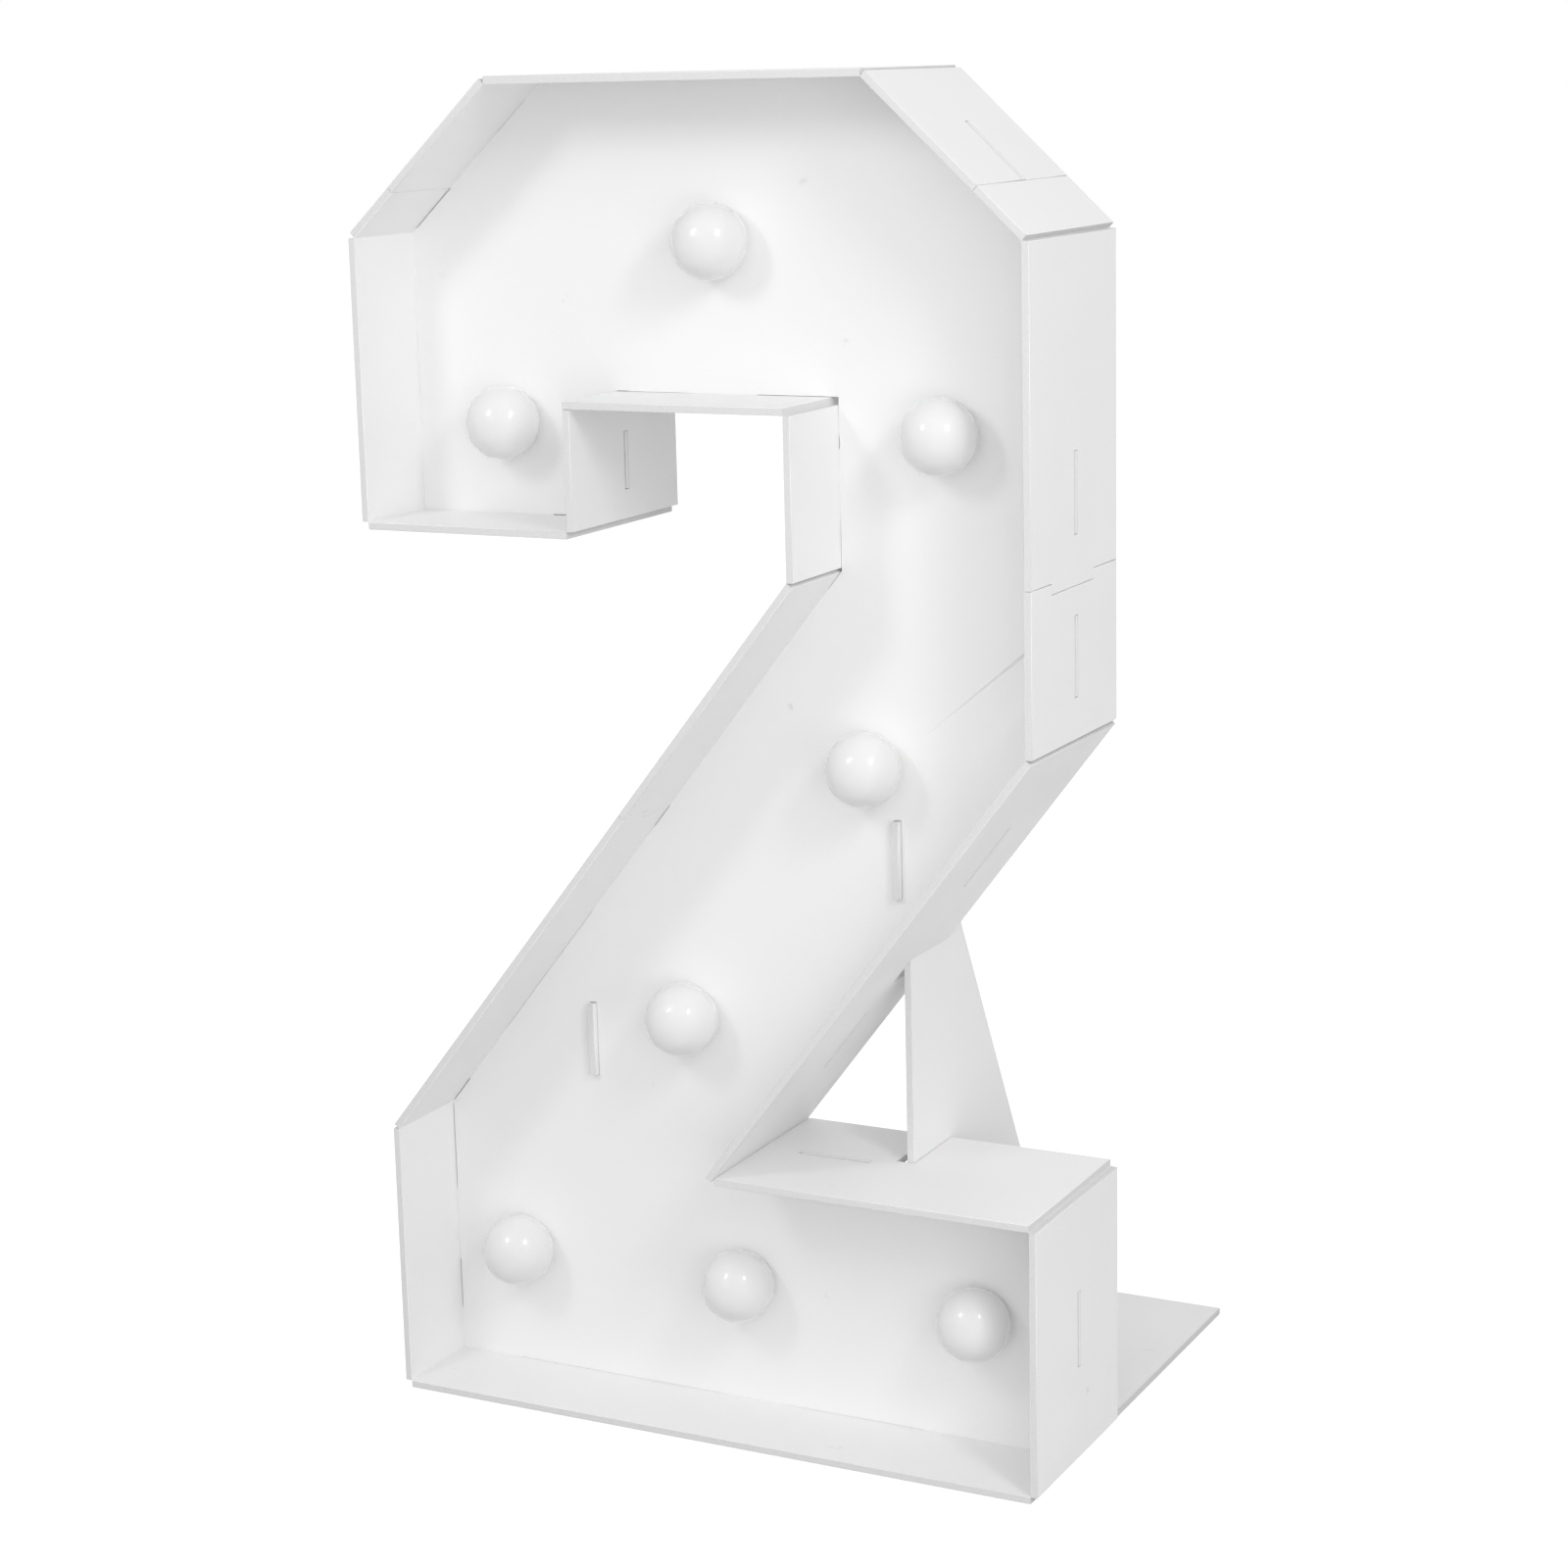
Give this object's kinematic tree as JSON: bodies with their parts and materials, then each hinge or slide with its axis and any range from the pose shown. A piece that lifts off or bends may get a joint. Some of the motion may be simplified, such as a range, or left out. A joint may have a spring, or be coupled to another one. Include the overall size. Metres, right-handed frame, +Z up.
{
  "type": "light up marquee number",
  "caption": "Free-standing light up figure two of folded white board, with opal balls on its recessed face and a battery case behind.",
  "frame": {"origin": "centre of the footprint on the floor, halfway across and halfway back of the bottom board", "axes": "+Z up, the lit face looks towards -Y, +X to the viewer's right"},
  "size_m": [0.488, 0.362, 0.914],
  "materials": {
    "board": "white foamed sheet, satin skin, cut edges slightly duller",
    "opal_ball": "opal white, glossy, faintly translucent",
    "holder_plastic": "white moulded plastic",
    "led_resin": "clear resin over a warm phosphor, unlit",
    "lead_sheath": "white soft sheath",
    "foam_tape": "white foam tape",
    "cell_jacket": "printed steel can, plain green",
    "contact_metal": "nickel plated spring steel"
  },
  "bodies": {
    "surround": {"face_panel": "board", "top_strip": "board", "right_upper_strip": "board", "right_lower_strip": "board", "base_strip": "board", "notch_strip": "board", "left_strip": "board", "fin_left": "board", "fin_right": "board", "holder_1": "holder_plastic", "led_1": "led_resin", "holder_2": "holder_plastic", "led_2": "led_resin", "holder_3": "holder_plastic", "led_3": "led_resin", "holder_4": "holder_plastic", "led_4": "led_resin", "holder_5": "holder_plastic", "led_5": "led_resin", "holder_6": "holder_plastic", "led_6": "led_resin", "holder_7": "holder_plastic", "led_7": "led_resin", "holder_8": "holder_plastic", "led_8": "led_resin", "lead_1": "lead_sheath", "lead_2": "lead_sheath", "lead_3": "lead_sheath", "lead_4": "lead_sheath", "lead_5": "lead_sheath", "lead_6": "lead_sheath", "lead_7": "lead_sheath", "lead_8": "lead_sheath", "battery_pad": "foam_tape", "battery_case": "holder_plastic", "cell_1": "cell_jacket", "cell_2": "cell_jacket", "cell_3": "cell_jacket", "contact_link_left": "contact_metal", "contact_end_left": "contact_metal", "contact_end_right": "contact_metal", "contact_link_right": "contact_metal", "switch_body": "holder_plastic"},
    "globe_1": {"globe_1": "opal_ball"},
    "globe_2": {"globe_2": "opal_ball"},
    "globe_3": {"globe_3": "opal_ball"},
    "globe_4": {"globe_4": "opal_ball"},
    "globe_5": {"globe_5": "opal_ball"},
    "globe_6": {"globe_6": "opal_ball"},
    "globe_7": {"globe_7": "opal_ball"},
    "globe_8": {"globe_8": "opal_ball"},
    "battery_cover": {"battery_cover": "holder_plastic"},
    "switch_slider": {"switch_slider": "holder_plastic"}
  },
  "joints": [
    {"name": "globe_1_screw", "type": "hinge", "parent": "surround", "child": "globe_1", "pos_m": [-0.1615, -0.111, 0.686], "axis": [0, 1, 0], "range_deg": [0, 360]},
    {"name": "globe_2_screw", "type": "hinge", "parent": "surround", "child": "globe_2", "pos_m": [0, -0.111, 0.807], "axis": [0, 1, 0], "range_deg": [0, 360]},
    {"name": "globe_3_screw", "type": "hinge", "parent": "surround", "child": "globe_3", "pos_m": [0.16, -0.111, 0.686], "axis": [0, 1, 0], "range_deg": [0, 360]},
    {"name": "globe_4_screw", "type": "hinge", "parent": "surround", "child": "globe_4", "pos_m": [0.1031, -0.111, 0.4673], "axis": [0, 1, 0], "range_deg": [0, 360]},
    {"name": "globe_5_screw", "type": "hinge", "parent": "surround", "child": "globe_5", "pos_m": [-0.03804, -0.111, 0.2822], "axis": [0, 1, 0], "range_deg": [0, 360]},
    {"name": "globe_6_screw", "type": "hinge", "parent": "surround", "child": "globe_6", "pos_m": [-0.177, -0.111, 0.0955], "axis": [0, 1, 0], "range_deg": [0, 360]},
    {"name": "globe_7_screw", "type": "hinge", "parent": "surround", "child": "globe_7", "pos_m": [0, -0.111, 0.0955], "axis": [0, 1, 0], "range_deg": [0, 360]},
    {"name": "globe_8_screw", "type": "hinge", "parent": "surround", "child": "globe_8", "pos_m": [0.177, -0.111, 0.0955], "axis": [0, 1, 0], "range_deg": [0, 360]},
    {"name": "battery_cover_slide", "type": "slide", "parent": "surround", "child": "battery_cover", "axis": [-1, 0, 0], "range_m": [0, 0.055]},
    {"name": "switch_slide", "type": "slide", "parent": "surround", "child": "switch_slider", "axis": [1, 0, 0], "range_m": [0, 0.004]}
  ]
}
